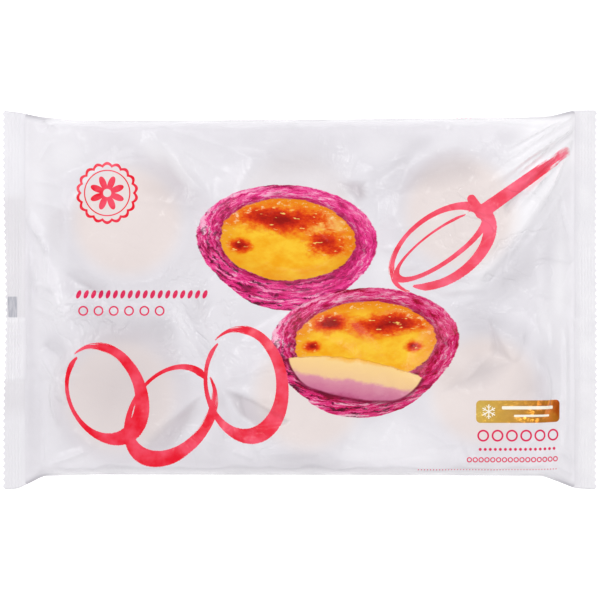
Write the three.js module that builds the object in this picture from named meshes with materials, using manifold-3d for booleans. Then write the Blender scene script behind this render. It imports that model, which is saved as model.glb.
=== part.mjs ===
// A sealed flow-wrap pack of six round tarts, lying on its back seam with its printed side up.
// Millimetres, +Z up, +X along the pack, origin on the ground under the middle of the pack.
// The pack is shut, so it is one closed solid: a film tube drawn over a tray of tarts and crimped at both ends.

import * as THREE from "three";
import { mergeVertices } from "three/addons/utils/BufferGeometryUtils.js";
import Module from "manifold-3d";

const { clamp, lerp, smoothstep } = THREE.MathUtils;

// Driving dimensions.
const packLength = 300; // between the tooth tips of the two end seals
const sealWidth = 191; // the film tube pressed flat
const packHeight = 28; // from the ground to the film over the tarts
const farSide = 90.7; // the filled tube's edge at +Y
const nearSide = -88.1; // and at -Y, where it bulges a little less
const crimpDepth = 12; // each end seal, measured in from its teeth
const toothPitch = sealWidth / 58;
const toothDepth = 1;
const filmPair = 0.8; // two film layers pressed together, drawn thicker than life so that they stay solid
const sealHeight = 12.5; // the crimps stand out at about half the height of the pack
const sealDroop = 1.5; // and hang down this much at their teeth

// The contents that lift the film.
const tartRadius = 32.5;
const tartPitchX = 87;
const tartPitchY = 90;
const tartRowShift = -2; // the two rows lie a little towards -Y
const valleyDepth = 4; // how far the film sags between tarts

// How far in from an edge the film takes to reach its full height: steep sides, long slopes to the seals.
const sideReach = 5.5;
const endReach = 22;
const undersideReach = 17;

// The back seam: the tube's two edges welded together and folded flat against the underside.
const seamWidth = 32;
const seamRoot = -9; // its fold line, in Y
const seamThickness = 0.4;

// Steps of the surface grid. A sine spreads them so that they are closest at the edges.
const lengthSteps = 54;
const widthSteps = 40;
const crowding = 1.3;

const filmMaterial = new THREE.MeshStandardMaterial({
  color: 0xe8e4e8,
  roughness: 0.3,
  metalness: 0,
});

const halfLength = packLength / 2;
const crimpInner = halfLength - crimpDepth;

const wasm = await Module();
wasm.setup();

function toSolid(geometry) {
  const bare = geometry.clone();
  bare.deleteAttribute("normal");
  bare.deleteAttribute("uv");
  const merged = mergeVertices(bare, 1e-4);
  return new wasm.Manifold(
    new wasm.Mesh({
      numProp: 3,
      vertProperties: merged.attributes.position.array,
      triVerts: new Uint32Array(merged.index.array),
    }),
  );
}

function toGeometry(solid) {
  const { vertProperties, triVerts } = solid.getMesh();
  const geometry = new THREE.BufferGeometry();
  geometry.setAttribute("position", new THREE.BufferAttribute(vertProperties, 3));
  geometry.setIndex(new THREE.BufferAttribute(triVerts, 1));
  geometry.computeVertexNormals();
  return geometry;
}

// From -1..1 to -1..1, with even steps closing up towards both ends.
function crowded(t) {
  return Math.sin(t * crowding) / Math.sin(crowding);
}

// 0 in the body of the pack and 1 on the crimps: the tube spreads as it is pressed flat.
function flare(x, start) {
  return smoothstep(Math.abs(x), start, crimpInner + 5);
}

function farEdge(x) {
  return lerp(farSide, sealWidth / 2, flare(x, 112));
}

function nearEdge(x) {
  return lerp(nearSide, -sealWidth / 2, flare(x, 124));
}

// 0 on the side fold, rising steeply at first and then rounding over to 1.
function shoulder(distance, reach) {
  return Math.sin((Math.PI / 2) * clamp(distance / reach, 0, 1)) ** 0.85;
}

// 0 at the seal, rising almost straight and rounding over to 1 only near the top.
function ramp(distance, reach) {
  const share = clamp(distance / reach, 0, 1);
  return (5 * share - share ** 5) / 4;
}

function sealMiddle(x) {
  return sealHeight - sealDroop * smoothstep(Math.abs(x), crimpInner, halfLength);
}

// 1 over a tart, 0 clear of every tart.
function overTarts(x, y) {
  let nearest = Infinity;
  for (const column of [-1, 0, 1])
    for (const row of [-0.5, 0.5]) {
      const away = Math.hypot(x - column * tartPitchX, y - row * tartPitchY - tartRowShift);
      nearest = Math.min(nearest, away);
    }
  return 1 - smoothstep(nearest, tartRadius - 4, tartRadius + 15);
}

function fromSide(x, y) {
  return Math.min(farEdge(x) - y, y - nearEdge(x));
}

function filling(x, y, side, end) {
  return shoulder(fromSide(x, y), side) * ramp(crimpInner - Math.abs(x), end);
}

function topHeight(x, y) {
  const low = sealMiddle(x) + filmPair / 2;
  const tightness = lerp(0.3, 1, smoothstep(fromSide(x, y), 8, 32));
  const crown = packHeight - valleyDepth * tightness * (1 - overTarts(x, y));
  return lerp(low, crown, filling(x, y, sideReach, endReach));
}

function bottomHeight(x, y) {
  const low = sealMiddle(x) - filmPair / 2;
  return lerp(low, seamThickness, filling(x, y, undersideReach, undersideReach));
}

// A flat box in steps, whose top and bottom faces are moved onto the two skins of the pack.
function filledTube() {
  const overrun = 1; // trimmed off again with the teeth
  const geometry = new THREE.BoxGeometry(2, 2, 1, lengthSteps, widthSteps, 1);
  const points = geometry.attributes.position;
  for (let i = 0; i < points.count; i++) {
    const x = crowded(points.getX(i)) * (halfLength + overrun);
    const across = (crowded(points.getY(i)) + 1) / 2;
    const y = lerp(nearEdge(x), farEdge(x), across);
    const z = points.getZ(i) > 0 ? topHeight(x, y) : bottomHeight(x, y);
    points.setXYZ(i, x, y, z);
  }
  return toSolid(geometry);
}

// The flap lies under the pack from crimp to crimp, following the underside and pressed into both crimps.
function backSeam() {
  const embedded = 0.3;
  const length = packLength - 2 * toothDepth - 0.6;
  const geometry = new THREE.BoxGeometry(2, seamWidth, 1, lengthSteps, 1, 1);
  const points = geometry.attributes.position;
  for (let i = 0; i < points.count; i++) {
    const x = (crowded(points.getX(i)) * length) / 2;
    const y = seamRoot - seamWidth / 2 + points.getY(i);
    const skin = bottomHeight(x, y);
    const z = points.getZ(i) > 0 ? skin + embedded : skin - seamThickness;
    points.setXYZ(i, x, y, z);
  }
  return toSolid(geometry);
}

// What the serrated knife takes away at one end (end is -1 or 1): everything outside a zigzag line.
function knifeWaste(end) {
  const count = Math.round(sealWidth / toothPitch) + 2;
  const outside = end * (halfLength + 5);
  const outline = new THREE.Shape();
  outline.moveTo(outside, (-count / 2) * toothPitch);
  for (let i = 0; i <= 2 * count; i++) {
    const reach = halfLength - (i % 2 ? 0 : toothDepth);
    outline.lineTo(end * reach, (i / 2 - count / 2) * toothPitch);
  }
  outline.lineTo(outside, (count / 2) * toothPitch);
  const depth = 12;
  const geometry = new THREE.ExtrudeGeometry(outline, { depth, bevelEnabled: false });
  geometry.translate(0, 0, sealMiddle(halfLength) - depth / 2);
  return toSolid(geometry);
}

function pack() {
  let solid = filledTube().add(backSeam());
  for (const end of [-1, 1]) solid = solid.subtract(knifeWaste(end));
  const mesh = new THREE.Mesh(toGeometry(solid), filmMaterial);
  mesh.name = "pack";
  return mesh;
}

const tartPack = new THREE.Group();
tartPack.add(pack());

export default tartPack;
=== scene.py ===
import math
from functools import partialmethod, reduce

import bmesh
import bpy
import numpy as np
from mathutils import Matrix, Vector


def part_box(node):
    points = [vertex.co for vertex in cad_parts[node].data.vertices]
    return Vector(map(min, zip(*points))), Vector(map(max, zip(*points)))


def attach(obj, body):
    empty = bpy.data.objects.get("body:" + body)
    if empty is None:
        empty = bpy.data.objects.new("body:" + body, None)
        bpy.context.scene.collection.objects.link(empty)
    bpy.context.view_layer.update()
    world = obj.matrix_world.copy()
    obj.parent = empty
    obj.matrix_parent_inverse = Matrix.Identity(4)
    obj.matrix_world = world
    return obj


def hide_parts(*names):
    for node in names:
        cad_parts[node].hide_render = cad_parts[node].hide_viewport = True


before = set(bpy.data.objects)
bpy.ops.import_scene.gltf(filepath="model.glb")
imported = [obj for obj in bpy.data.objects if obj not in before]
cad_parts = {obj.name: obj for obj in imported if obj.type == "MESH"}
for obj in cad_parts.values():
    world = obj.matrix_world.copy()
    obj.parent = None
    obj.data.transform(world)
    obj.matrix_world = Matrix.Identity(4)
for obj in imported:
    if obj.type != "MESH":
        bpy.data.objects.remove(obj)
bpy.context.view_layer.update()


# ---- The tray ----
# A thin formed sheet of white plastic that keeps the tarts apart inside the pack. It is pressed in a mould:
# a flat deck with six round wells that taper to flat floors, and a lip turned down all round.

MM = 0.001
_, pack_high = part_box("pack")
half_length = pack_high.x / MM

tray_columns, tray_rows = 160, 110
tray_half_length, tray_half_width, tray_shift = 130.0, 83.0, 1.0
deck_height, lip_height, lip_width, well_floor = 15.0, 8.5, 3.0, 1.6
well_mouth, well_foot = 31.5, 24.0
# Where each tart has settled, as x, y and its size beside the others: frozen tarts slide a little.
tart_places = [
    (-85.5, 39.0, 0.99), (-2.0, 45.5, 1.0), (79.5, 43.0, 1.02),
    (-89.0, -47.5, 1.02), (4.0, -47.0, 1.0), (91.0, -44.5, 0.98),
]


def smooth(t):
    t = np.clip(t, 0, 1)
    return t * t * (3 - 2 * t)


def formed_sheet(name, columns, rows, place):
    """A grid from -1 to 1 both ways, with each vertex put where place(u, v) says, in millimetres."""
    bm = bmesh.new()
    bmesh.ops.create_grid(bm, x_segments=columns, y_segments=rows, size=1)
    sheet = finished(name, bm)
    u, v, _ = points_of(sheet)
    sheet.data.vertices.foreach_set("co", (np.stack(place(u, v), axis=1) * MM).ravel())
    return sheet


def points_of(piece):
    """The mesh's vertices as three arrays x, y and z."""
    flat = np.empty(3 * len(piece.data.vertices))
    piece.data.vertices.foreach_get("co", flat)
    return flat.reshape(-1, 3).T


def added(name, data):
    """A new object in the scene, for a mesh, a lamp or the camera."""
    thing = bpy.data.objects.new(name, data)
    bpy.context.scene.collection.objects.link(thing)
    return thing


def meshed(name, bm):
    mesh = bpy.data.meshes.new(name)
    bm.to_mesh(mesh)
    bm.free()
    return added(name, mesh)


def finished(name, bm):
    """The bmesh as a smooth-shaded object that rides on the pack."""
    for face in bm.faces:
        face.smooth = True
    piece = meshed(name, bm)
    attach(piece, "root")
    return piece


def add_point_attribute(piece, name, values):
    attribute = piece.data.attributes.new(name, "FLOAT", "POINT")
    attribute.data.foreach_set("value", np.asarray(values, np.float32))


class Signal:
    """One node's output in the maths of a finish: sums on signals and numbers add their Math nodes."""

    def __init__(self, finish, socket):
        self.finish, self.socket = finish, socket

    def maths(self, operation, *others):
        inputs = dict(enumerate((self, *others)))
        return self.finish.node("ShaderNodeMath", {"operation": operation}, inputs)

    def vector(self, operation, *others, output=0):
        inputs = dict(enumerate((self, *others)))
        return self.finish.node("ShaderNodeVectorMath", {"operation": operation}, inputs, output)

    __add__ = __radd__ = partialmethod(maths, "ADD")
    __mul__ = __rmul__ = partialmethod(maths, "MULTIPLY")
    __sub__ = partialmethod(maths, "SUBTRACT")
    __truediv__ = partialmethod(maths, "DIVIDE")
    __abs__ = partialmethod(maths, "ABSOLUTE")
    least = partialmethod(maths, "MINIMUM")
    most = partialmethod(maths, "MAXIMUM")
    sine = partialmethod(maths, "SINE")
    angle_to = partialmethod(maths, "ARCTAN2")

    def __rsub__(self, other):
        return self.finish.node("ShaderNodeMath", {"operation": "SUBTRACT"}, {0: other, 1: self})

    def between(self, low, high):
        """0 at low and 1 at high, with an even slope between, whichever is the larger."""
        return self.finish.node("ShaderNodeMapRange", inputs={0: self, 1: low, 2: high})

    def length(self):
        return self.vector("LENGTH", output="Value")

    def parts(self):
        node = self.finish.nodes.new("ShaderNodeSeparateXYZ")
        self.finish.plug(self, node.inputs[0])
        return [Signal(self.finish, socket) for socket in node.outputs]


class Finish:
    """A material on one Principled shader, with one method that adds any other node."""

    def __init__(self, name, **constants):
        self.material = bpy.data.materials.new(name)
        self.material.use_nodes = True
        self.nodes = self.material.node_tree.nodes
        self.links = self.material.node_tree.links
        self.shader = self.nodes["Principled BSDF"]
        for key, value in constants.items():
            self.shader.inputs[key.replace("_", " ").title().replace("Ior", "IOR")].default_value = value

    def plug(self, value, socket):
        if isinstance(value, Signal):
            self.links.new(value.socket, socket)
        else:
            socket.default_value = value

    def node(self, kind, settings=None, inputs=None, output=0):
        made = self.nodes.new(kind)
        for name, value in (settings or {}).items():
            if name == "stops":
                while len(made.color_ramp.elements) < len(value):
                    made.color_ramp.elements.new(0.5)
                for element, (position, colour) in zip(made.color_ramp.elements, value):
                    element.position, element.color = position, colour
            else:
                setattr(made, name, value)
        for key, value in (inputs or {}).items():
            self.plug(value, made.inputs[key])
        return Signal(self, made.outputs[output])

    def position(self):
        """The surface point in millimetres, in the frame of the pack."""
        place = self.node("ShaderNodeTexCoord", output="Object")
        return self.node("ShaderNodeVectorMath", {"operation": "SCALE"}, {0: place, "Scale": 1 / MM})

    def noise(self, place, scale, detail=3.0, roughness=0.5, distortion=0.0):
        inputs = {"Vector": place, "Scale": scale, "Detail": detail}
        inputs.update({"Roughness": roughness, "Distortion": distortion})
        return self.node("ShaderNodeTexNoise", inputs=inputs)

    def placed(self, place, centre, size=(1, 1), turn=0.0):
        """The point in a flat pattern's own frame: centred, turned by degrees and measured in its size."""
        inputs = {"Vector": place, "Location": (*centre, 0), "Scale": (*size, 1)}
        inputs["Rotation"] = (0, 0, math.radians(turn))
        return self.node("ShaderNodeMapping", {"vector_type": "TEXTURE"}, inputs)

    def joined(self, x, y, z=0.0):
        return self.node("ShaderNodeCombineXYZ", inputs={0: x, 1: y, 2: z})

    def attribute(self, name):
        return self.node("ShaderNodeAttribute", {"attribute_name": name}, output="Fac")

    def blend(self, share, first, second):
        """Two colours mixed: the first where share is 0, the second where it is 1."""
        return self.node("ShaderNodeMix", {"data_type": "RGBA"}, {0: share, 6: first, 7: second}, 2)

    def coated(self, ground, *coats):
        """A colour with others laid over it in turn, each given as its share and its colour."""
        for share, colour in coats:
            ground = self.blend(share, ground, colour)
        return ground

    def bump(self, height, distance_mm, strength=1.0):
        inputs = {"Height": height, "Distance": distance_mm * MM, "Strength": strength}
        self.plug(self.node("ShaderNodeBump", inputs=inputs), self.shader.inputs["Normal"])

    def feed(self, **inputs):
        for key, value in inputs.items():
            self.plug(value, self.shader.inputs[key.replace("_", " ").title()])

    def onto(self, piece):
        piece.data.materials.append(self.material)


def shade(red, green, blue):
    """A colour given as it looks on a screen, from 0 to 255, made linear for the shader."""
    channels = [c / 255 for c in (red, green, blue)]
    return (*[c / 12.92 if c < 0.04045 else ((c + 0.055) / 1.055) ** 2.4 for c in channels], 1.0)


def from_nearest_tart(x, y):
    """The distance from the middle of the nearest tart, as if each were of the middle size."""
    return np.min([np.hypot(x - cx, y - cy) / size for cx, cy, size in tart_places], axis=0)


def tray_surface(u, v):
    x, y = u * tray_half_length, v * tray_half_width + tray_shift
    wall = (from_nearest_tart(x, y) - well_foot) / (well_mouth - well_foot)
    deck = well_floor + (deck_height - well_floor) * np.clip(wall, 0, 1)
    from_rim = np.minimum(tray_half_length - abs(x), tray_half_width - abs(y - tray_shift))
    z = lip_height + (deck - lip_height) * smooth(from_rim / lip_width)
    return x, y, z


tray = formed_sheet("tray", tray_columns, tray_rows, tray_surface)
plastic = Finish("white_formed_plastic", roughness=0.45)
cloud = plastic.noise(plastic.position(), 0.12, detail=2.0)
plastic.feed(base_color=plastic.blend(cloud, shade(240, 238, 240), shade(248, 247, 248)))
plastic.bump(plastic.noise(plastic.position(), 1.4), 0.05)
plastic.onto(tray)


# ---- The crusts ----
# Six bowls of laminated dough, coloured purple with yam. Each is pressed by hand into its well, so that the
# cut layers of the dough flare outwards round the rim as thin, uneven flakes.

crust_foot, crust_height = 1.0, 24.0
custard_radius = 27.0
crust_profile = [
    (0.0, 0.0), (18.0, 0.0), (22.0, 0.4), (23.6, 2.4), (25.0, 5.4), (26.4, 8.4), (27.8, 11.4), (29.2, 14.4),
    (30.6, 17.4), (31.8, 20.2), (32.5, 22.4), (32.2, 23.6), (31.0, 24.0), (29.4, 23.8), (28.0, 23.0),
    (27.0, 21.4), (26.4, 19.0), (25.0, 13.0), (22.0, 5.0), (18.0, 4.0), (0.0, 4.0),
]
spin_steps = 144
layer_height = 2.6
plain_foot_radius, plain_foot_height, flaky_from = 20.0, 1.0, 8.0


def settled(bm, name, tart, foot):
    """The bmesh moved to its tart's place and size, and up to its foot's height."""
    centre_x, centre_y, size = tart
    bmesh.ops.recalc_face_normals(bm, faces=bm.faces)
    for vertex in bm.verts:
        x, y, z = vertex.co
        vertex.co = Vector((centre_x + size * x, centre_y + size * y, foot + z)) * MM
    return finished(name, bm)


def crust_bowl(number, tart):
    """The bowl's half section spun round its own axis, with flakes pushed out of its wall and rim."""
    bm = bmesh.new()
    corners = [bm.verts.new((radius, 0, height)) for radius, height in crust_profile]
    edges = [bm.edges.new(pair) for pair in zip(corners, corners[1:])]
    bmesh.ops.subdivide_edges(bm, edges=edges, cuts=2)
    section = bm.verts[:] + bm.edges[:]
    bmesh.ops.spin(bm, geom=section, cent=(0, 0, 0), axis=(0, 0, 1), angle=math.tau,
                   steps=spin_steps, use_merge=True)
    bmesh.ops.remove_doubles(bm, verts=bm.verts, dist=0.001)
    draw = np.random.default_rng(40 + number)
    waves = [(draw.integers(5, 40), draw.uniform(0.2, 0.55), draw.uniform(0, math.tau)) for _ in range(9)]
    for vertex in bm.verts:
        radius, angle = math.hypot(vertex.co.x, vertex.co.y), math.atan2(vertex.co.y, vertex.co.x)
        if radius < plain_foot_radius or vertex.co.z < plain_foot_height:
            continue
        ragged = sum(high * math.sin(count * angle + start + 0.11 * count * vertex.co.z)
                     for count, high, start in waves) / 2.2
        ragged = max(-1.0, min(1.0, ragged))
        layers = 0.35 * math.sin(math.tau * vertex.co.z / layer_height + 2.2 * math.sin(3 * angle))
        outside = 1.0 if radius > custard_radius + 0.5 else 0.25
        near_rim = max(0.0, (vertex.co.z - flaky_from) / (crust_height - flaky_from))
        stretch = 1 + outside * (ragged * (0.35 + 0.65 * near_rim) + layers) / radius
        vertex.co.x, vertex.co.y = vertex.co.x * stretch, vertex.co.y * stretch
        vertex.co.z += 0.35 * ragged * near_rim
    return settled(bm, f"crust_{number}", tart, crust_foot)


dough = Finish("purple_flaky_dough", roughness=0.7)
where = dough.position()
along_layers = dough.noise(where.vector("MULTIPLY", (1, 1, 6)), 0.35, detail=5.0, roughness=0.6)
bloom = dough.noise(where, 0.09, detail=2.0)
baked = dough.blend(along_layers.between(0.35, 0.65), shade(104, 52, 96), shade(158, 96, 140))
dough.feed(base_color=dough.blend(bloom.between(0.45, 0.7) * 0.5, baked, shade(186, 140, 160)))
dough.bump(along_layers, 0.6)
for number, tart in enumerate(tart_places, 1):
    dough.onto(crust_bowl(number, tart))


# ---- The custards ----
# Pale egg custard that fills each bowl to just under the rim. It was poured in, so it lies level and meets
# the dough in a turned down edge, and freezing has left it matt and slightly domed.

custard_depth, custard_top, custard_dome = 3.0, 23.0, 0.9


def custard_disc(number, tart):
    """A disc whose top is domed and softly uneven, turned down into the bowl at its edge."""
    bm = bmesh.new()
    rim = bmesh.ops.create_circle(bm, segments=96, radius=custard_radius * 0.99, cap_ends=True)["verts"]
    lower = bmesh.ops.extrude_face_region(bm, geom=bm.faces[:])["geom"]
    for vertex in rim:
        vertex.co.z = -custard_depth
    top = [face for face in lower if isinstance(face, bmesh.types.BMFace)]
    for inset in (1.2, 2.5, 4.0, 5.0, 5.0, 4.5, 3.0):
        bmesh.ops.inset_region(bm, faces=top, thickness=inset, use_even_offset=True)
    for vertex in bm.verts:
        if vertex.co.z > -0.01:
            radius = math.hypot(vertex.co.x, vertex.co.y) / custard_radius
            slow = math.sin(0.11 * vertex.co.x + number) * math.cos(0.13 * vertex.co.y - 2 * number)
            turned_down = 0.6 * max(0.0, radius - 0.94) / 0.06
            vertex.co.z = custard_dome * (1 - radius**2) + 0.25 * slow - turned_down
    return settled(bm, f"custard_{number}", tart, custard_top)


custard = Finish("pale_egg_custard", roughness=0.5)
skin = custard.noise(custard.position(), 0.05, detail=3.0)
custard.feed(base_color=custard.blend(skin.between(0.35, 0.65), shade(240, 196, 128), shade(248, 214, 158)))
custard.bump(custard.noise(custard.position(), 0.6), 0.15)
for number, tart in enumerate(tart_places, 1):
    custard.onto(custard_disc(number, tart))


# ---- The film over the top ----
# The printed half of the film tube: milky, glossy plastic film drawn tight over the tarts. It is one sheet,
# pulled to its folds by the two end seals, and it clings where it touches the tarts underneath.

crimp_depth = 12.0
crimp_inner = half_length - crimp_depth
seal_height, seal_droop, film_pair = 12.5, 1.5, 0.5
side_reach, end_reach, underside_reach = 5.5, 22.0, 17.0
film_rest, film_clearance, film_limit = 26.9, 0.2, 27.6
film_sag, sag_from, sag_width = 4.0, 28, 17

# The outline of the tube seen from above: it spreads towards the seals, more suddenly on the near side.
far_outline = [(-150, 95.3), (-142, 94.4), (-131, 92.1), (-112, 90.2), (-40, 90.4), (60, 91.2), (112, 91.8),
               (126, 92.4), (137, 95.2), (150, 95.5)]
near_outline = [(-150, -95.4), (-142, -94.9), (-135, -91.6), (-129, -88.4), (-100, -87.7), (60, -88.1),
                (122, -88.4), (130, -91.4), (138, -94.6), (150, -95.5)]
outline_x = np.linspace(-half_length, half_length, 1201)
soften = np.hanning(33) / np.hanning(33).sum()


def softened_outline(points):
    """The outline's straight stretches with their corners rounded."""
    straight = np.interp(outline_x, *zip(*points))
    padded = np.pad(straight, len(soften) // 2, mode="edge")
    return np.convolve(padded, soften, mode="valid")


far_curve, near_curve = softened_outline(far_outline), softened_outline(near_outline)


def far_edge(x):
    return np.interp(x, outline_x, far_curve)


def near_edge(x):
    return np.interp(x, outline_x, near_curve)


def across_tube(x, share):
    """y at a share of the tube's width, from its near edge to its far one."""
    return near_edge(x) + (far_edge(x) - near_edge(x)) * share


def from_side(x, y):
    return np.minimum(far_edge(x) - y, y - near_edge(x))


def filling(x, y, side, end):
    """0 on the pressed edges of the tube, and 1 where it is at its full thickness: round along its sides,
    and nearly straight where it is pulled down to the seals, which it leaves flat."""
    round_side = np.sin(np.pi / 2 * np.clip(from_side(x, y) / side, 0, 1)) ** 0.85
    flat_start = 0.1
    ramp = np.hypot(np.clip((crimp_inner - abs(x)) / end, 0, 1), flat_start) - flat_start
    ramp = ramp / (math.hypot(1, flat_start) - flat_start)
    return round_side * (5 * ramp - ramp**5) / 4


def seal_middle(x, y):
    droop = seal_droop * smooth((abs(x) - crimp_inner) / crimp_depth)
    wave = 0.7 * np.sin(y / 21 + 0.02 * x) + 0.35 * np.sin(y / 8.5 + 1.3)
    return seal_height - droop + wave * smooth((abs(x) - 120) / 25)


def half_gap(x, y):
    """Half the space between the two films, which meet along the tube's sides."""
    return film_pair / 2 * np.clip(from_side(x, y) / 2, 0, 1)


def contents_height(x, y):
    """The top of the crusts, the custard and the tray under the film."""
    reach = from_nearest_tart(x, y)
    return np.interp(reach, [0, 26.0, 27.5, 29.0, 32.5, 34.5, 37.0],
                     [23.8, 23.6, 25.2, 25.5, 25.4, 23.5, deck_height])


def crease(x, y, start, end, height, left, right, bow=0.0, fade=0.3):
    """A fold between two points: a crest (or, if height is negative, a valley) that dies away over the
    widths left and right of it, bows sideways by bow, and fades over a share of its length at both ends."""
    (x0, y0), (x1, y1) = start, end
    length = math.hypot(x1 - x0, y1 - y0)
    ux, uy = (x1 - x0) / length, (y1 - y0) / length
    share = ((x - x0) * ux + (y - y0) * uy) / length
    aside = (y - y0) * ux - (x - x0) * uy - bow * 4 * share * (1 - share)
    width = np.where(aside > 0, left, right)
    ends = smooth(share / fade + 0.15) * smooth((1 - share) / fade + 0.15)
    inside = (share > -0.15 * fade) & (share < 1 + 0.15 * fade)
    tent = np.clip(1 - abs(aside) / (1.7 * width), 0, 1)
    return 1.25 * height * (0.6 * tent + 0.6 * np.exp(-abs(aside) / (0.6 * width))) * ends * inside


# Each fold: where it starts and ends, its height, how far it spreads to its left and right, and any bow.
folds = [
    # the far left corner, where the tube turns down into the seal
    ((-129, 91), (-126, 85), -1.4, 2, 3),
    ((-126, 86), (-120, 88), 1.2, 2, 2),
    ((-116, 90), (-106, 67), 1.3, 5, 13, 1.5),
    ((-139, 44), (-128, 30), 1.3, 3, 2, -1),
    # from the far edge down between the first two tarts of the far row
    ((-77, 88), (-41, 47), 1.7, 4.5, 10, -1),
    ((-70, 86), (-4, 62), 1.2, 2, 9, 1.5),
    ((-67, 79), (-30, 60), 0.4, 2, 2),
    ((-82, 49), (-44, 45), 0.5, 3, 1.5, 0.5),
    ((-69, 44), (-58, 31), 0.5, 1.5, 3),
    ((-58, 74), (-48, 58), -0.6, 3, 3),
    # the left end between the two rows
    ((-133, 20), (-112, -21), 1.9, 6, 5, 1),
    ((-118, 13), (-93, -1), -2, 4, 5),
    ((-133, 8), (-121, 4), 0.7, 1.5, 1.5, 0.8),
    ((-134, -4), (-122, -9), 0.6, 1.2, 1.5, 0.5),
    ((-131, -27), (-115, -50), 1.8, 1.6, 3.4),
    ((-129, -22), (-116, -30), -1.6, 3, 2.4),
    ((-134, 36), (-126, 22), 1.2, 1.2, 1.2, 0.6),
    ((-128, 30), (-127, 8), 1, 0.9, 1.1, 0.8),
    ((-133, 18), (-131, 2), 0.9, 0.8, 1, -0.5),
    ((-136, 30), (-135, -6), 0.6, 0.7, 0.7, 0.5),
    ((-131, 68), (-122, 80), 0.7, 1.2, 1.6, 0.5),
    ((-135, 60), (-113, 55), 0.5, 1.2, 1.6, 0.6),
    ((-134, 50), (-116, 44), 0.5, 1, 1.6, 0.4),
    ((-128, -50), (-127, -84), 0.6, 1.5, 1.5),
    ((-124, -45), (-114, -52), 0.5, 1, 1.5),
    ((-103, -74), (-127, -83), 0.9, 2, 2.5),
    ((-112, -64), (-102, -75), 0.5, 2, 1.5),
    # the star of folds between the first two tarts of the near row
    ((-70, -1), (-41, -39), 1.7, 3, 3.5),
    ((-53, 1), (-40, -37), 1.4, 2.5, 2.5),
    ((-60, 0), (-42, -36), -1.1, 2, 2),
    ((-39, -41), (-8, -31), 1.2, 3, 2.5, 0.5),
    ((-38, -44), (-7, -51), 1, 2.5, 2),
    ((-38, -47), (-7, -62), -0.8, 4, 5, 1),
    ((-47, -45), (-80, -70), 1.3, 4, 10, 1),
    ((-39, -44), (-30, -72), 0.8, 4, 4),
    ((-26, -68), (-18, -78), 0.8, 2, 1.5),
    ((-19, -77), (14, -76), 0.6, 3, 2, 0.5),
    ((-34, -75), (-23, -79), 0.8, 1.8, 1.2),
    # the welded look of the tube's two long edges, where it turns under
    ((-105, -83.6), (126, -84), 0.35, 1, 0.8, 0.4),
    ((-78, 87.6), (126, 88.8), 0.4, 1, 0.8, 0.3),
    ((-60, 85), (40, 86.5), 0.25, 0.8, 0.8, -0.3),
    ((73.6, 89.8), (74.6, 83.5), 0.8, 1.2, 1.2),
    ((38.8, 90.6), (36.7, 83), 0.6, 1.5, 1.5),
    ((48, 88), (71, 86), 0.5, 1, 1, 0.4),
    # the pull from the far right corner
    ((143, 92), (92, 55), 2.3, 1.5, 2.6),
    ((141, 95), (95, 64), 1.5, 1.3, 1.3),
    ((143, 86), (100, 50), 1.8, 1.2, 2.2, 0.5),
    ((143, 90), (112, 70), 1.4, 0.7, 0.9, 0.3),
    ((141, 90), (104, 60), 1.4, 0.7, 0.8, 0.6),
    ((139, 82), (108, 46), 1.5, 0.8, 1.2, 0.8),
    ((136, 78), (116, 40), 1.1, 0.7, 0.9, 1),
    ((131, 90), (103, 75), 1.1, 0.7, 0.8),
    ((127, 72), (98, 44), 1.2, 0.8, 1.4),
    ((134, 70), (87, 8), 2.6, 3, 6, 1.5),
    ((121, 63), (99, 33), 0.9, 3, 2),
    ((134, 58), (110, 24), 0.8, 2, 3, 1),
    ((130, 55), (136, 30), -0.9, 1.2, 1.8, -1.5),
    ((119, 22), (140, 19), 0.7, 1.6, 1.2),
    ((104, 25), (92, 5), -0.9, 3, 4),
    # the right end between the two rows, with its loose tongue of film
    ((69, 3), (93, 5), 1, 2.5, 1.8, 1),
    ((74, -3), (88, 0), 0.8, 1.5, 1.5),
    ((79, -43), (95, -26), 1.1, 2, 3),
    ((95, -25), (95, -8), 0.9, 2, 2),
    ((94.5, -9), (106, -31), 1.5, 5, 1.4),
    ((112, -13), (106, -31), 1.1, 1.4, 4),
    ((117, -7), (119, -17), 0.5, 1, 1),
    ((125, -10), (126, -25), 0.5, 1.2, 1.2),
    ((133, -12), (132.5, -82), 0.8, 1.2, 1.4, 0.5),
    ((137, -8), (137, -80), 0.5, 0.8, 0.8),
    ((128, -74), (140, -83), 1, 1.6, 1.6),
    ((124, -80), (137, -88), 0.7, 1.5, 1.5),
    ((12, -78), (62, -83), 0.6, 3, 2, -0.5),
    ((52, -60), (78, -74), 0.5, 3, 3, 1),
    ((40, 25), (54, 26), 0.7, 2, 1.5),
    ((41, 14), (60, 18), 0.8, 2.5, 2),
    ((44, 34), (70, 40), 0.6, 2, 3, 0.5),
    ((30, 62), (56, 73), 0.7, 4, 3),
]


# Short creases without a plan of their own: near the seals they run in from the weld, elsewhere every way.
short_creases, near_a_seal = 90, 105
draw = np.random.default_rng(7)
for _ in range(short_creases):
    mid_x, mid_y = draw.uniform(-134, 134), draw.uniform(-84, 84)
    spread = 0.5 if abs(mid_x) > near_a_seal else 1.6
    angle, reach = draw.normal(0, spread), draw.uniform(4, 16)
    step_x, step_y = reach * math.cos(angle), reach * math.sin(angle)
    tall = draw.uniform(0.1, 0.36) * draw.choice((-1, 1))
    left, right = draw.uniform(0.8, 2.4), draw.uniform(0.8, 2.4)
    ends = (mid_x - step_x, mid_y - step_y), (mid_x + step_x, mid_y + step_y)
    folds.append((*ends, tall, left, right, draw.uniform(-1, 1)))


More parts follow.
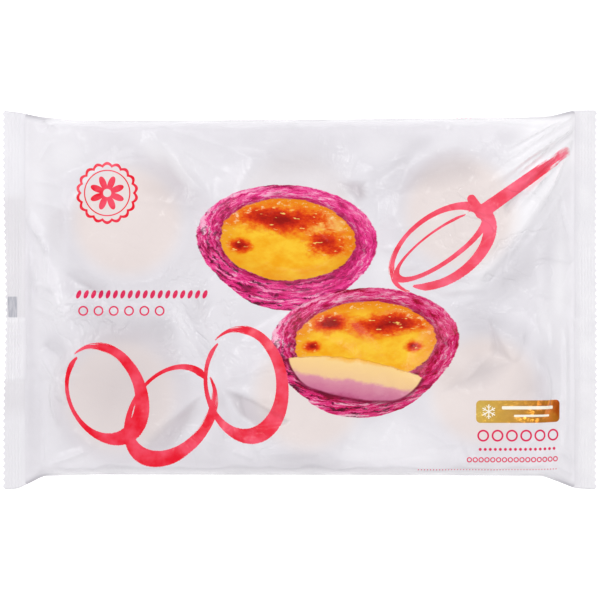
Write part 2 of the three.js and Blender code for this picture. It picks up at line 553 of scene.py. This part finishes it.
def facets(x, y, cell, tallest, seed):
    """Flat three-sided facets that meet in crisp edges: random heights on a wavy triangular grid."""
    repeat = 97
    heights = np.random.default_rng(seed).uniform(-tallest, tallest, (repeat, repeat))
    s = (x + 0.30 * cell * np.sin(1.1 * y / cell) + 0.6 * cell * np.sin(0.29 * y / cell + seed)) / cell
    t = (y + 0.45 * x + 0.35 * cell * np.sin(0.9 * x / cell) + 0.5 * cell * np.sin(0.23 * x / cell)) / cell
    i, j = np.floor(s).astype(int), np.floor(t).astype(int)
    s, t = s - i, t - j
    near = s + t < 1
    s, t = np.where(near, s, 1 - s), np.where(near, t, 1 - t)

    def height(step_i, step_j):
        return heights[(i + step_i) % repeat, (j + step_j) % repeat]

    corner = np.where(near, height(0, 0), height(1, 1))
    beside = np.where(near, height(1, 0), height(0, 1))
    beyond = np.where(near, height(0, 1), height(1, 0))
    return corner + (beside - corner) * s + (beyond - corner) * t


# Where the film has been pressed down on the tarts and clings: convex outlines, anticlockwise, and the
# width of the slope round each.
clings = [
    ([(-43, 47), (-60, 80), (-80, 84), (-76, 62), (-67, 48)], 19.0),
    ([(-120, 24), (-119, 44), (-132, 46), (-131, 32), (-127, 24)], 12.0),
    ([(29, 49), (34, 51), (33, 59), (20, 58)], 4.0),
    ([(88, 61), (86, 70), (78, 74), (68, 72), (55, 63), (52, 54), (66, 56)], 9.0),
    ([(102, 42), (112, 57), (112, 58), (99, 51)], 3.0),
    ([(-63, -75), (-51, -61), (-48, -46), (-65, -57), (-78, -69), (-79, -78)], 7.0),
    ([(-39, -44), (-30, -57), (-20, -63.4), (-8, -62), (-5, -60), (-22, -50.5)], 1.5),
    ([(91, -43), (97, -40), (105, -31), (88, -28), (74, -44)], 8.0),
    ([(95, -28), (105, -30), (94, -12)], 4.0),
    ([(107, -50), (123, -50), (120, -39), (110, -34)], 14.0),
    ([(-104, -76), (-64, -74), (-52, -44), (-64, -16), (-96, -12), (-120, -32), (-118, -60)], 40.0),
]


def pressed(x, y, corners, slope):
    outside = np.full_like(x, -np.inf)
    for (x0, y0), (x1, y1) in zip(corners, corners[1:] + corners[:1]):
        side = ((x - x0) * (y1 - y0) - (y - y0) * (x1 - x0)) / math.hypot(x1 - x0, y1 - y0)
        outside = np.maximum(outside, side)
    return np.clip(-outside / slope + 0.3, 0, 1)


def cling(x, y):
    """How firmly the film is pressed on the tarts, from 0 to 1."""
    firmest = np.max([pressed(x, y, corners, slope) for corners, slope in clings], axis=0)
    return firmest * smooth((44 - from_nearest_tart(x, y)) / 10)


def film_top(x, y):
    """The height of the film over the tarts, in millimetres."""
    reach = from_nearest_tart(x, y)
    loosest = 0.3 + 0.7 * smooth((from_side(x, y) - 8) / 24)
    sag = film_sag * smooth((reach - sag_from) / sag_width) * loosest
    puckered = side_reach + 1.2 * np.sin(x / 5.3 + 2 * np.sin(x / 31)) * np.sin(x / 17.1 + 1)
    puckered = puckered + facets(x, y / 4, 8, 0.9, 29)
    full = filling(x, y, puckered, end_reach)
    low = seal_middle(x, y) + half_gap(x, y)
    shape = low + (film_rest - sag - low) * full
    wrinkles = sum(crease(x, y, *fold) for fold in folds)
    loose = smooth((abs(x) - 92) / 30) + 0.35
    wrinkles = wrinkles * (0.48 + 0.45 * loose) + facets(x, y, 31, 0.28, 11) + facets(x, y, 12, 0.08, 13)
    crumpled = np.exp(-(((x + 131) / 8) ** 2) - ((y - 18) / 24) ** 2)
    wrinkles = wrinkles + facets(x, y, 5.5, 0.035, 17) * loose + facets(x, y, 4.2, 0.2, 23) * crumpled
    wrinkles = wrinkles - cling(x, y)
    pinned = smooth(from_side(x, y) / 3) * smooth((crimp_inner - abs(x)) / 3)
    shape = shape + wrinkles * pinned
    shape = np.minimum(shape, film_limit + 0.4 * (shape - film_limit))
    under = contents_height(x, y) + film_clearance
    return np.maximum(shape, np.where(full > 0.6, under, -np.inf))


front_columns, front_rows, crowding = 360, 236, 1.25


def tube_point(u, v):
    """x and y on the tube, with rows that close up towards its two long edges."""
    x = u * crimp_inner
    return x, across_tube(x, (np.sin(v * crowding) / math.sin(crowding) + 1) / 2)


def front_surface(u, v):
    x, y = tube_point(u, v)
    return x, y, film_top(x, y)


film_front = formed_sheet("film_front", front_columns, front_rows, front_surface)
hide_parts("pack")
front_x, front_y, front_z = points_of(film_front) / MM
front_reach, front_cling = from_nearest_tart(front_x, front_y), cling(front_x, front_y)
gap = front_z - contents_height(front_x, front_y)
over_custard = smooth((32.0 - front_reach) / 11)
over_crust = smooth((36.0 - front_reach) / 5) * (1 - over_custard)
over_tray = smooth((tray_half_length - abs(front_x)) / 4)
# How closely the film lies on the food: there the food shows through it, and the film also takes painted
# shade.
contact = np.clip(front_cling + 0.2 * np.exp(-gap / 1.5) * over_tray, 0, 1)

# The film is lighter in some patches (amount above 0): partly a milkier haze from frost and air under it,
# partly painted light. It is darker in others (below 0), as where it hangs over a gap of the tray: painted
# shade. Each patch: its middle, its two reaches, its amount and any turn in degrees.
haze_and_light_patches = [
    (-84, -14, 21, 9, -0.7), (-106, -84, 32, 5, -0.2), (10, -84, 90, 5, -0.4),
    (89, -11, 14, 6, -0.55, -10), (125, 21, 5, 20, -0.4), (-5, 75, 27, 10, -0.2),
    (71, 61, 18, 6, -0.3, 15), (-31, -57, 8, 7, -0.25), (-65, -58, 18, 18, -0.2),
    (-98, -33, 18, 18, -0.2), (124, 77, 24, 14, 1.3, 40), (42, 15, 7, 11, 0.4), (-56, 20, 14, 6, 0.2, 72),
    (-37, 0, 10, 14, 0.1), (48, -68, 22, 10, 0.4), (-53, 68, 24, 8, 0.3, -25), (-116, 70, 11, 7, 0.5),
    (84, 4, 16, 5, 0.25), (-118, -5, 7, 11, 0.3), (103, 9, 26, 7, -0.4, 36), (-50, -1, 6, 10, -0.4),
    (-106, -6, 14, 6, -0.4), (45, 58, 10, 8, -0.25), (-40, -66, 6, 8, -0.3), (-132, 60, 6, 26, 0.3),
    (-120, 36, 5, 18, 0.15), (-86, 72, 10, 7, -0.3, -40), (75, 77, 16, 8, 0.25, 20), (99, 58, 9, 8, 0.3),
    (108, -20, 6, 6, -0.35), (74, -52, 16, 8, 0.4), (-22, 48, 7, 6, -0.2), (-106, -80, 12, 5, 0.3),
    (-58, -14, 4, 12, 0.3, 20), (-60, 42, 7, 4, -0.2), (40, 75, 12, 6, 0.35, 10),
    (116, 50, 26, 6, 0.6, 62), (92, 15, 11, 6, 0.55, 50), (129, 8, 4, 16, 0.55), (88, -22, 11, 8, -0.35),
    (76, -38, 7, 6, -0.45), (44, -80, 24, 5, 0.35, -5), (4, -79, 20, 5, -0.45), (-48, -77, 15, 6, -0.3),
    (-132, -58, 5, 22, -0.35), (105, 88, 14, 4, 0.4), (107, 70, 12, 5, 0.3, 35), (-60, -60, 8, 9, 0.3),
    (24, -77, 9, 5, 0.35), (-122, -22, 7, 6, -0.4), (-110, 6, 12, 4, -0.35), (-40, -49, 4, 6, -0.4),
    (22, 54, 4, 3, -0.3), (51, 68, 6, 5, -0.35, 40), (-86, 18, 14, 7, -0.2), (-2, 67, 16, 5, -0.3),
    (108, 40, 9, 5, 0.7, 62), (118, 74, 8, 4, -0.4, 40), (-22, -53, 6, 3, 0.6, -20),
    (-121, -38, 4, 9, 0.3), (-60, -45, 8, 6, 0.25), (31, -68, 7, 6, 0.25), (66, 40, 7, 7, 0.25),
    (129, 25, 4, 5, 0.2), (-66, 67, 15, 5, 1.0, -44), (-71, 54, 10, 4, -0.3, -20),
    (-112, 38, 7, 8, -0.25), (78, 89, 26, 3, 0.3), (77, 69, 11, 4, 0.5, 15), (123, -31, 8, 9, -0.35),
    (-115, 80, 12, 7, 0.3), (-67, -16, 6, 12, -0.3, 20), (-136, -20, 3, 60, -0.3), (63, -78, 9, 4, 0.3),
    (60, 77, 9, 4, -0.3, 20),
]


def patch(x, y, patch_x, patch_y, reach_along, reach_aside, amount, turn=0):
    """One soft oval patch, strongest in its middle."""
    c, s = math.cos(math.radians(turn)), math.sin(math.radians(turn))
    along = ((x - patch_x) * c + (y - patch_y) * s) / reach_along
    aside = ((y - patch_y) * c - (x - patch_x) * s) / reach_aside
    return amount * np.exp(-(along**2 + aside**2) ** 1.5)


# The film's haze with its painted light and shade: the patches, and painted light that brightens the film's
# slopes down to the seals.
def milkiness(x, y):
    painted_light_near_seals = smooth((abs(x) - 112) / 14) * np.where(x > 0, 0.42, 0.2)
    return sum(patch(x, y, *each) for each in haze_and_light_patches) + painted_light_near_seals


add_point_attribute(film_front, "contact", contact)
frosted = np.exp(-((((front_x + 2) / 38) ** 2 + ((front_y - 62) / 24) ** 2) ** 2))
custard_tint = over_custard * (0.44 - 0.2 * front_cling) * (1 - 0.75 * frosted)
add_point_attribute(film_front, "custard_below", custard_tint)
add_point_attribute(film_front, "crust_below", over_crust * contact)
add_point_attribute(film_front, "milkiness", milkiness(front_x, front_y))
# Painted shade along the tube's two long edges, where the film turns down.
add_point_attribute(film_front, "folded_edge", 1 - smooth(from_side(front_x, front_y) / 4))


def cover(distance, blur=0.15):
    """1 inside a printed shape and 0 outside it, given the distance from its edge in millimetres."""
    return distance.between(blur / 2, -blur / 2)


def union(covers):
    return reduce(Signal.most, covers)


def nearest(distances):
    return reduce(Signal.least, distances)


def bar_print(ink, place, x, y, half_width, half_height, corner):
    """The distance from a rounded bar's edge."""
    folded = ink.placed(place, (x, y)).vector("ABSOLUTE")
    outside = folded.vector("SUBTRACT", (half_width - corner, half_height - corner, 0))
    return outside.vector("MAXIMUM", (0, 0, 0)).length() - corner


film_clear, film_haze = 0.9, 0.96
film = Finish("milky_printed_film", ior=1.5, specular_ior_level=0.22)
place = film.position().vector("MULTIPLY", (1, 1, 0))
across, up, _ = place.parts()

# The ink edges are a little rough, as printing on film is.
ink_edge = film.noise(place, 1.6, detail=3.0) - 0.5

covers = []


def brush_ring(centre, size, turn, heavy, thin, start):
    """An oval drawn with one turn of a loaded brush: heavy on one flank, thin on the other, dry at its
    end."""
    own = film.placed(place, centre, size, turn)
    own_x, own_y, _ = own.parts()
    turned = (own_y.angle_to(own_x) / math.tau + (1.5 - start)).maths("FRACT")
    pinch = 1 + own_y.most(-2) * 0.15
    mean = (size[0] + size[1]) / 2
    away = (own.vector("MULTIPLY", (1, 1, 0)).length() * pinch - 0.94 - turned * 0.12) * mean
    taper = turned.between(-0.02, 0.05) * turned.between(1.04, 0.85)
    width = (thin + (heavy - thin) * own_x.between(-1, 1)) * taper
    dry = film.noise(film.joined(turned * 5.0, away * 1.5), 1.6, detail=4.0, roughness=0.7)
    worn = (dry - 0.52) * 16 * turned.between(0.68, 0.95)
    return cover(abs(away + ink_edge * 0.5) - width + worn.most(0))


def brush_line(start, end, first, last, bow=0.0):
    """A straight or bowed stroke from start to end, whose half width runs from first to last."""
    (x0, y0), (x1, y1) = start, end
    length = math.hypot(x1 - x0, y1 - y0)
    own = film.placed(place, (x0, y0), turn=math.degrees(math.atan2(y1 - y0, x1 - x0)))
    along, aside, _ = own.parts()
    share = along.between(0, length)
    bent = aside - share * (1 - share) * (4 * bow)
    away = film.joined(along - share * length, bent).length()
    dry = film.noise(film.joined(along * 0.08, aside * 1.6), 1.6, detail=4.0, roughness=0.7)
    worn = (dry - 0.46) * 26 * share.between(0.62, 1.05)
    return cover(away + ink_edge * 0.5 - (first + share * (last - first)) + worn.most(0))


def turned_round(centre):
    """The surface point's turn round a centre, and its distance from it."""
    own = film.placed(place, centre)
    own_x, own_y, _ = own.parts()
    return own_y.angle_to(own_x), own.length()


# Near left: three eggs drawn with a brush.
covers += [
    brush_ring((-99.0, -43.0), (17.5, 22.5), 24, 3.2, 1.0, 0.80),
    brush_ring((-62.0, -52.0), (18.0, 24.0), -38, 3.1, 1.0, 0.70),
    brush_ring((-29.0, -37.5), (19.0, 25.0), 8, 3.3, 1.1, 0.85),
]
# Far right: a balloon whisk drawn with the same brush.
whisk_turn, whisk_centre = 36, (69.0, 28.0)
covers += [
    brush_ring(whisk_centre, (27.0, 15.5), whisk_turn, 2.6, 1.5, 0.1),
    brush_ring(whisk_centre, (26.5, 7.5), whisk_turn, 2.0, 1.2, 0.6),
    brush_line((90.0, 43.5), (133.0, 74.0), 3.4, 2.6),
    brush_line((85.0, 50.0), (96.0, 36.0), 2.2, 1.6),
]
# A round badge with a scalloped rim and a plain eight-petalled flower.
badge_radius = 15.4
badge_turn, badge_reach = turned_round((-95.5, 53.0))
scallops = abs((badge_turn * 9).sine()) * 1.3
rim_away = abs(badge_reach - scallops - (badge_radius - 2.0)) - 0.75
petals = badge_reach - (abs((badge_turn * 4).sine()) * 5.2 + 3.6)
covers += [cover(rim_away), cover(petals) - cover(badge_reach - 2.0), cover(abs(badge_reach - 11.2) - 0.3)]
brush_red = union(covers)


# Rows of small ornaments.
def bead_row(first_x, last_x, y, pitch, radius, line=0.0, lean=0.0, squeeze=1.0):
    """Dots in a row, or rings where line is given; squeeze makes them tall, and lean tilts them."""
    aside = (((across - first_x) / pitch).maths("FRACT") - 0.5) * pitch
    above = up - y
    away = film.joined(aside - above * lean, above * squeeze).length() - radius
    if line:
        away = abs(away) - line
    middle, reach = (first_x + last_x) / 2, (last_x - first_x) / 2
    return cover(away) * cover(abs(across - middle) - reach)


small_print = union([
    bead_row(-112.0, -45.4, 2.8, 3.7, 1.15, lean=0.3, squeeze=0.55),
    bead_row(-111.6, -66.0, -5.4, 7.6, 2.1, line=0.38),
    bead_row(87.2, 129.8, -67.2, 7.1, 2.5, line=0.45),
    bead_row(88.0, 128.0, -74.0, 2.5, 0.75),
    bead_row(82.5, 128.9, -79.2, 2.9, 1.05, line=0.28),
    bead_row(58.0, 128.5, -84.2, 1.5, 0.3),
    bead_row(77.8, 86.6, 91.4, 2.2, 0.4),
])
rose = shade(226, 34, 88)

# The gold plate with a snowflake.
plate = cover(bar_print(film, place, 108.5, -55.3, 21.3, 5.6, 2.2))
flake_turn, flake_reach = turned_round((93.5, -55.3))
arm_spacing = math.tau / 6
sector = ((flake_turn / arm_spacing).maths("FRACT") - 0.5) * arm_spacing
arm_along, arm_aside = flake_reach * sector.maths("COSINE"), abs(flake_reach * sector.sine())
arm = cover(arm_aside - 0.28) * cover(arm_along - 3.6)
barb = cover(abs(arm_along - arm_aside * 0.8 - 1.9) - 0.24) * cover(arm_aside - 1.1)
gilt = film.blend(across.between(90, 128), shade(248, 208, 104), shade(190, 84, 0))
gilt = film.blend(film.noise(place, 0.12, detail=2.0).between(0.35, 0.7) * 0.5, gilt, shade(236, 172, 52))
white_lines = union([
    arm, barb,
    cover(bar_print(film, place, 113.0, -53.4, 13.0, 0.8, 0.5)),
    cover(bar_print(film, place, 115.0, -57.4, 9.0, 0.55, 0.4)),
])
gilt = film.blend(white_lines, gilt, shade(252, 246, 232))


def pictured_tart(centre, width, height, depth, turn, scorches, flush, cut=False):
    """A tart drawn from above its front edge: its cover and its colour. The bowl is a pile of narrowing
    ovals, the custard lies in the top one, flush is the colour that the crust takes on towards its right
    side, and a cut tart shows its fillings on a flat face at the front."""
    ovals = []
    for share in (0, 0.25, 0.5, 0.75, 1):
        size = (width * (1 - 0.3 * share**1.4), height * (1 - 0.25 * share))
        low = (centre[0], centre[1] - depth * share)
        ovals.append(film.placed(place, low, size, turn).length())
    shape = nearest(ovals)
    own = film.placed(place, centre, (width, height), turn)
    own_x, own_y, _ = own.parts()
    frill = film.noise(own, 7.0, detail=4.0, roughness=0.7) - 0.5
    outside = (shape - 1 + frill * 0.065) * height

    # The layers of the dough run round the bowl as fine strands, pale where they stand out.
    around, reach = own_y.angle_to(own_x), own.length()
    swirl = film.joined(around * 5.0 + reach * 6.0, reach * 26.0 + frill * 3.0)
    strands = film.noise(swirl, 0.9, 5.0, 0.75, 0.6)
    fibres = film.noise(film.joined(around * 10.0, reach * 60.0 + frill * 5.0), 1.0, 3.0, 0.7)
    broad = film.noise(film.joined(around * 1.7, reach * 5.0), 1.1, 2.0)
    tone = strands * 0.95 + fibres * 0.45 + broad * 0.6 - 0.5
    crust = film.node("ShaderNodeValToRGB", {"stops": [
        (0.31, shade(60, 0, 16)), (0.40, shade(184, 2, 70)), (0.48, shade(230, 36, 128)),
        (0.57, shade(250, 96, 168)), (0.66, shade(255, 208, 230)),
    ]}, {0: tone})
    gaps = film.noise(film.joined(around * 2.2, reach * 9.0 + frill * 2.0), 1.1, 3.0, 0.6)
    lit = cover((abs(reach - 0.93) - 0.08) * height, 1.6) * (own_y - own_x * 0.6).between(-0.3, 0.9)
    crevices = film.noise(film.joined(around * 4.0, reach * 20.0 + frill * 3.0), 1.0, 4.0, 0.7)
    in_shade = (own_x * -0.8 - own_y).between(-0.5, 1.0) * 0.75 + 0.12
    crust = film.coated(
        crust,
        (own_x.between(-1.6, 0.6) * 0.3 + 0.1, flush),
        ((gaps.between(0.42, 0.3) * 0.5).most(reach.between(1.05, 1.8) * 0.2), shade(124, 0, 34)),
        (reach.between(0.84, 0.76) * 0.5, shade(120, 0, 14)),
        (lit * strands.between(0.48, 0.62) * 0.45, shade(252, 172, 208)),
        (crevices.between(0.48, 0.41) * in_shade, shade(56, 0, 20)),
    )

    # The custard: bright where it is thin, orange at its edge, with scorched spots that shine.
    mottle = film.noise(own, 3.2, detail=5.0, roughness=0.62)
    flecks = film.noise(own, 15.0, detail=3.0, roughness=0.7) - 0.5
    ring = reach.between(0.5, 0.76) * (own_y.between(-0.6, 0.4) * 0.6 + 0.25)
    pale = film.placed(own, (0.34, 0.32), (0.3, 0.22)).length() + (mottle - 0.5) * 3
    spots = [film.placed(own, spot, spread).length() for spot, spread in scorches]
    scorched = nearest(spots) + (mottle - 0.5) * 2.2 + flecks
    burnt = film.node("ShaderNodeValToRGB", {"stops": [
        (0.1, shade(150, 8, 0)), (0.4, shade(192, 26, 0)),
        (0.65, shade(222, 58, 0)), (0.9, shade(238, 104, 0)),
    ]}, {0: scorched / 1.2})
    gleam = film.noise(own.vector("MULTIPLY", (1, 1.6, 1)), 9.0, detail=2.0).between(0.62, 0.68)
    inner = (reach - 0.745 + (mottle - 0.5) * 0.16 + flecks * 0.04) * height
    # Crumbs of the sugar crust shine along the far rim.
    crumbs = cover(abs(inner + 1.6) - 1.4, 2.4) * flecks.between(0.06, 0.15) * own_y.between(-0.3, 0.5)
    cream = film.coated(
        film.blend(mottle.between(0.38, 0.6), shade(246, 168, 8), shade(252, 200, 48)),
        (ring, shade(232, 112, 4)),
        (pale.between(1.0, 0.4) * 0.7, shade(255, 232, 140)),
        (scorched.between(1.65, 1.0), burnt),
        (gleam * scorched.between(1.5, 0.9) * 0.85, shade(255, 222, 120)),
        (crumbs * 0.8, shade(255, 238, 190)),
    )
    picture = film.blend(cover(inner, 0.4), crust, cream)
    if cut:
        slant = film.placed(place, (centre[0] - 2, centre[1] - 2), turn=turn - 13)
        slant_x, slant_y, _ = slant.parts()
        top_side = slant_y + 6.5 + frill * 1.8 + flecks * 1.2 + slant_x * slant_x * 0.004
        flank = abs(slant_x + 1.0) - slant_y * 0.3 - 36.5
        base = slant_x * slant_x * 0.005 - 26.0 - slant_y
        rounded = film.joined(flank.most(-9) + 9, base.most(-9) + 9).length() - 9
        face = rounded.most(top_side) + frill * 0.8
        fillings = film.node("ShaderNodeValToRGB", {"stops": [
            (0.0, shade(170, 40, 96)), (0.12, shade(204, 110, 148)), (0.40, shade(222, 146, 166)),
            (0.50, shade(244, 202, 150)), (0.86, shade(252, 214, 146)), (1.0, shade(250, 176, 20)),
        ]}, {0: slant_y.between(-27, -6.5) + (mottle - 0.5) * 0.35 + flecks * 0.12})
        face_edge = cover(face - 1.8, 1.6) * cover(top_side, 0.5) * 0.8
        picture = film.coated(picture, (face_edge, shade(110, 0, 44)), (cover(face, 0.8), fillings))
    return cover(outside, 0.3), picture


back_cover, back_colour = pictured_tart(
    (-6.5, 30.0), 45.0, 27.0, 15.0, -3,
    [((-0.08, 0.36), (0.42, 0.2)), ((0.44, -0.04), (0.18, 0.2)), ((-0.52, -0.16), (0.1, 0.1))],
    flush=shade(232, 50, 138),
)
front_cover, front_colour = pictured_tart(
    (32.0, -21.0), 47.0, 27.0, 17.0, 4,
    [((0.26, 0.3), (0.34, 0.16)), ((-0.34, 0.38), (0.17, 0.14)),
     ((-0.56, 0.0), (0.07, 0.08)), ((0.5, -0.12), (0.08, 0.09))],
    flush=shade(188, 0, 38), cut=True,
)

# Where the film hangs clear of the food it looks white, and where it clings the food shows through. Over
# this lie painted light and painted shade: the lighter and darker patches, painted shade where the film
# lies on the food, and painted shade along its long edges.
touching_and_shade, haze_and_light, custard_below, crust_below, folded_edge = [
    film.attribute(name) for name in ("contact", "milkiness", "custard_below", "crust_below", "folded_edge")
]
streaks = film.noise(place, 0.05, detail=4.0, roughness=0.6)
flakes = film.noise(place.vector("MULTIPLY", (0.3, 1.3, 1)), 0.7, detail=3.0)
bare = film.coated(
    film.blend(streaks.between(0.3, 0.7), shade(231, 228, 234), shade(238, 235, 241)),
    (haze_and_light.between(0, 1), shade(252, 250, 254)),
    (haze_and_light.between(0, -1), shade(206, 202, 208)),
    (touching_and_shade * 0.65, shade(214, 207, 212)),
    (custard_below, shade(244, 222, 210)),
    (crust_below * flakes * 0.8, shade(222, 212, 219)),
    (folded_edge, shade(214, 211, 218)),
    (folded_edge.between(0.6, 1.0) * 0.9, shade(192, 189, 196)),
)
paler = film.noise(place, 0.09, detail=4.0).between(0.4, 0.65) * 0.55 + across.between(-60, 70) * 0.45
red = film.blend(paler, shade(236, 10, 42), shade(255, 104, 132))
printed = film.coated(
    bare, (small_print, rose), (plate, gilt), (back_cover, back_colour), (front_cover, front_colour),
    (brush_red, red),
)
inked = union([brush_red, small_print, plate, back_cover, front_cover])
opacity = film_haze - touching_and_shade * (film_haze - film_clear)
film.feed(
    base_color=printed,
    alpha=opacity + inked * (1.0 - opacity),
    metallic=plate * 0.7 - plate * white_lines * 0.7,
    roughness=0.08 + streaks * 0.13 + inked * 0.06,
)
# Faint sharp lines craze the film where it is pulled together in folds, and less so elsewhere.
fine = film.noise(place, 0.5, detail=5.0, roughness=0.6, distortion=0.8)
crazed = abs(film.noise(place, 0.06, detail=2.5, roughness=0.6, distortion=0.7) - 0.5).between(0.0, 0.07)
gathers = [((-48, -8), (26, 28)), ((98, 30), (28, 40)), ((-104, -6), (24, 15)), ((-35, -70), (34, 9))]
pulled = union([
    film.placed(place, middle, reaches).length().between(1.3, 0.5)
    for middle, reaches in gathers
])
film.bump(fine * 0.45 + crazed * (pulled * 1.3 + 0.25), 0.3, 0.62)
film.onto(film_front)


# ---- The film underneath ----
# The unprinted half of the same tube. It is flat where the pack lies on it, and drawn up in small creases
# to the seals and to the long edges, where it meets the printed half.

back_columns, back_rows = 180, 120
film_floor = 0.45


def film_bottom(x, y):
    low = seal_middle(x, y) - half_gap(x, y)
    full = filling(x, y, underside_reach, underside_reach)
    wrinkles = facets(x, y, 13, 0.5, 21) * np.clip(1 - full, 0, 1)
    return low + (film_floor - low) * full + wrinkles * smooth(from_side(x, y) / 4)


def back_surface(u, v):
    x, y = tube_point(-u, v)
    return x, y, film_bottom(x, y)


film_back = formed_sheet("film_back", back_columns, back_rows, back_surface)
plain_film = Finish("milky_plain_film", roughness=0.24, ior=1.5, alpha=0.72)
back_place = plain_film.position()
cloudy = plain_film.noise(back_place, 0.05, detail=4.0)
plain_film.feed(base_color=plain_film.blend(cloudy, shade(234, 231, 236), shade(242, 240, 244)))
plain_film.bump(plain_film.noise(back_place, 0.4, detail=5.0, distortion=0.8), 0.5, 0.6)
plain_film.onto(film_back)


# ---- The end seals ----
# Both ends of the tube are welded flat between ribbed jaws, which press fine lines along the seal, and cut
# off with a serrated knife. The folded back seam runs into the seals, and makes the left weld thicker and
# paler.

tooth_count, tooth_depth = 58, 1.2
rib_pitch, rib_height = 1.6, 0.09
seam_width, seam_root = 32.0, -9.0
crimp_columns, rows_per_tooth = 60, 4
weld_thickness, weld_overlap = 0.2, 0.6


def thickened(piece, thickness):
    solidify = piece.modifiers.new("film thickness", "SOLIDIFY")
    solidify.thickness, solidify.offset = thickness * MM, 0
    return piece


def end_seal(name, end):
    """One welded end as a thin solid with a zigzag outer edge. end is -1 for the left, 1 for the right."""
    def surface(u, v):
        along = (v + 1) / 2
        outward = (u + 1) / 2 if end > 0 else (1 - u) / 2
        tooth = abs(((along * tooth_count) % 1) - 0.5) * 2
        drawn_in = 0.4 if end > 0 else 0.2 + 1.3 * np.exp(-(((along - 0.46) / 0.2) ** 2))
        outer = half_length - drawn_in - tooth_depth * tooth
        inner = crimp_inner - weld_overlap
        x = end * (inner + (outer - inner) * outward)
        y = across_tube(x, along)
        reach = abs(x) - crimp_inner
        pressed = smooth((reach - 1.5) / 1.5) * smooth((crimp_depth - 1.6 - reach) / 0.8)
        on_seam = smooth((y - seam_root + seam_width) / 1.5) * smooth((seam_root - y) / 1.5)
        bite = rib_height + 0.05 * np.sin(y / 17 + 1) + (0.24 if end < 0 else 0.03) * on_seam
        ribs = bite * pressed * np.cos(math.tau * reach / rib_pitch)
        return x, y, seal_middle(x, y) + ribs + 0.25 * on_seam

    sheet = formed_sheet(name, crimp_columns, tooth_count * rows_per_tooth, surface)
    return thickened(sheet, weld_thickness)


weld = Finish("ribbed_welded_film", roughness=0.22, ior=1.5, alpha=0.93)
weld_place = weld.position()
weld_x, weld_y, _ = weld_place.parts()
mottled = weld.noise(weld_place, 0.07, detail=3.0)
on_left = weld_x.between(1, -1)
flat_place = weld_place.vector("MULTIPLY", (1, 1, 0))
eye_mark = cover(bar_print(weld, flat_place, -144.6, -3.5, 2.4, 5.2, 0.4), 0.5)
fade_out = weld.noise(weld_place.vector("MULTIPLY", (2.2, 0.3, 1)), 0.5, detail=3.0).between(0.3, 0.65)
weld.feed(base_color=weld.coated(
    weld.blend(mottled.between(0.35, 0.65), shade(244, 242, 247), shade(250, 248, 252)),
    # Painted shade along the seal's inner edge, where the film rises from it.
    (abs(weld_x).between(142.0, 138.0) * 0.7, shade(233, 230, 236)),
    (on_left * weld_y.between(50, 54) * 0.6, shade(237, 235, 241)),
    (on_left * weld_y.between(54, 50) * weld_y.between(-10, -8), shade(235, 232, 237)),
    (on_left * weld_y.between(-39, -42), shade(234, 231, 236)),
    (on_left * weld_y.between(-52, -61), shade(243, 241, 246)),
    (eye_mark * (fade_out * 0.45 + 0.26), shade(140, 144, 160)),
))
weld.bump(weld.noise(weld_place.vector("MULTIPLY", (1, 3, 1)), 0.8, detail=3.0), 0.12)
for side, end in (("left", -1), ("right", 1)):
    weld.onto(end_seal(f"end_seal_{side}", end))


# ---- The back seam ----
# The tube's two edges, welded together into a flap of plain film. It is folded flat against the underside,
# runs from seal to seal, and the pack rests on it.

seam_columns, seam_rows = 150, 12
seam_drop, seam_lowest, seam_thickness = 0.3, 0.12, 0.15


def seam_surface(u, v):
    x = u * (crimp_inner + 1)
    y = seam_root - seam_width / 2 + v * seam_width / 2
    return x, y, np.maximum(film_bottom(x, y) - seam_drop, seam_lowest)


back_seam = thickened(formed_sheet("back_seam", seam_columns, seam_rows, seam_surface), seam_thickness)
plain_film.onto(back_seam)


# ---- The studio ----
# A white floor that glows a little, four broad soft lights round the pack with a narrow one over each for
# the gleams along the folds, and a camera straight above it.

floor_half_width, room_brightness = 3, 0.494
floor_mesh = bmesh.new()
bmesh.ops.create_grid(floor_mesh, x_segments=2, y_segments=2, size=floor_half_width)
floor = meshed("floor", floor_mesh)
white = Finish("white_floor", base_color=(0.93, 0.93, 0.93, 1), roughness=0.9,
               emission_color=(1, 1, 1, 1), emission_strength=0.5)
floor.data.materials.append(white.material)

# Each light: where it stands, its width and length, and its power. All of them aim at the pack.
lights = {
    "far_light": ((-0.15, 0.8, 1.1), (1.0, 0.3), 2.25),
    "left_light": ((-1.15, 0.3, 0.95), (0.3, 0.8), 2.15),
    "right_light": ((1.15, 0.0, 0.95), (0.3, 0.8), 2.1),
    "near_light": ((0.0, -0.9, 1.1), (1.0, 0.3), 1.1),
    "far_strip": ((-0.35, 0.5, 1.35), (0.5, 0.04), 1.8),
    "right_strip": ((0.45, 0.4, 1.35), (0.04, 0.5), 1.8),
    "near_strip": ((0.05, -0.5, 1.35), (0.5, 0.04), 1.0),
    "left_strip": ((-0.6, 0.25, 1.3), (0.06, 0.4), 1.6),
}
aim = Vector((0, 0, 0.02))
for name, (stand, size, power) in lights.items():
    lamp = bpy.data.lights.new(name, "AREA")
    lamp.shape, lamp.energy = "RECTANGLE", power
    lamp.size, lamp.size_y = size
    holder = added(name, lamp)
    holder.location = stand
    holder.rotation_euler = (aim - Vector(stand)).to_track_quat("-Z", "Y").to_euler()
world = bpy.data.worlds.new("studio")
world.use_nodes = True
background = world.node_tree.nodes["Background"]
background.inputs["Color"].default_value = (1, 1, 1, 1)
background.inputs["Strength"].default_value = room_brightness
bpy.context.scene.world = world
bpy.context.scene.view_settings.view_transform = "Standard"

camera_data = bpy.data.cameras.new("camera")
camera_data.lens = 120
view_width = 0.3015
camera_height = view_width * camera_data.lens / camera_data.sensor_width + seal_height * MM
camera = added("camera", camera_data)
camera.location = (0.0, 0.0, camera_height)
bpy.context.scene.camera = camera
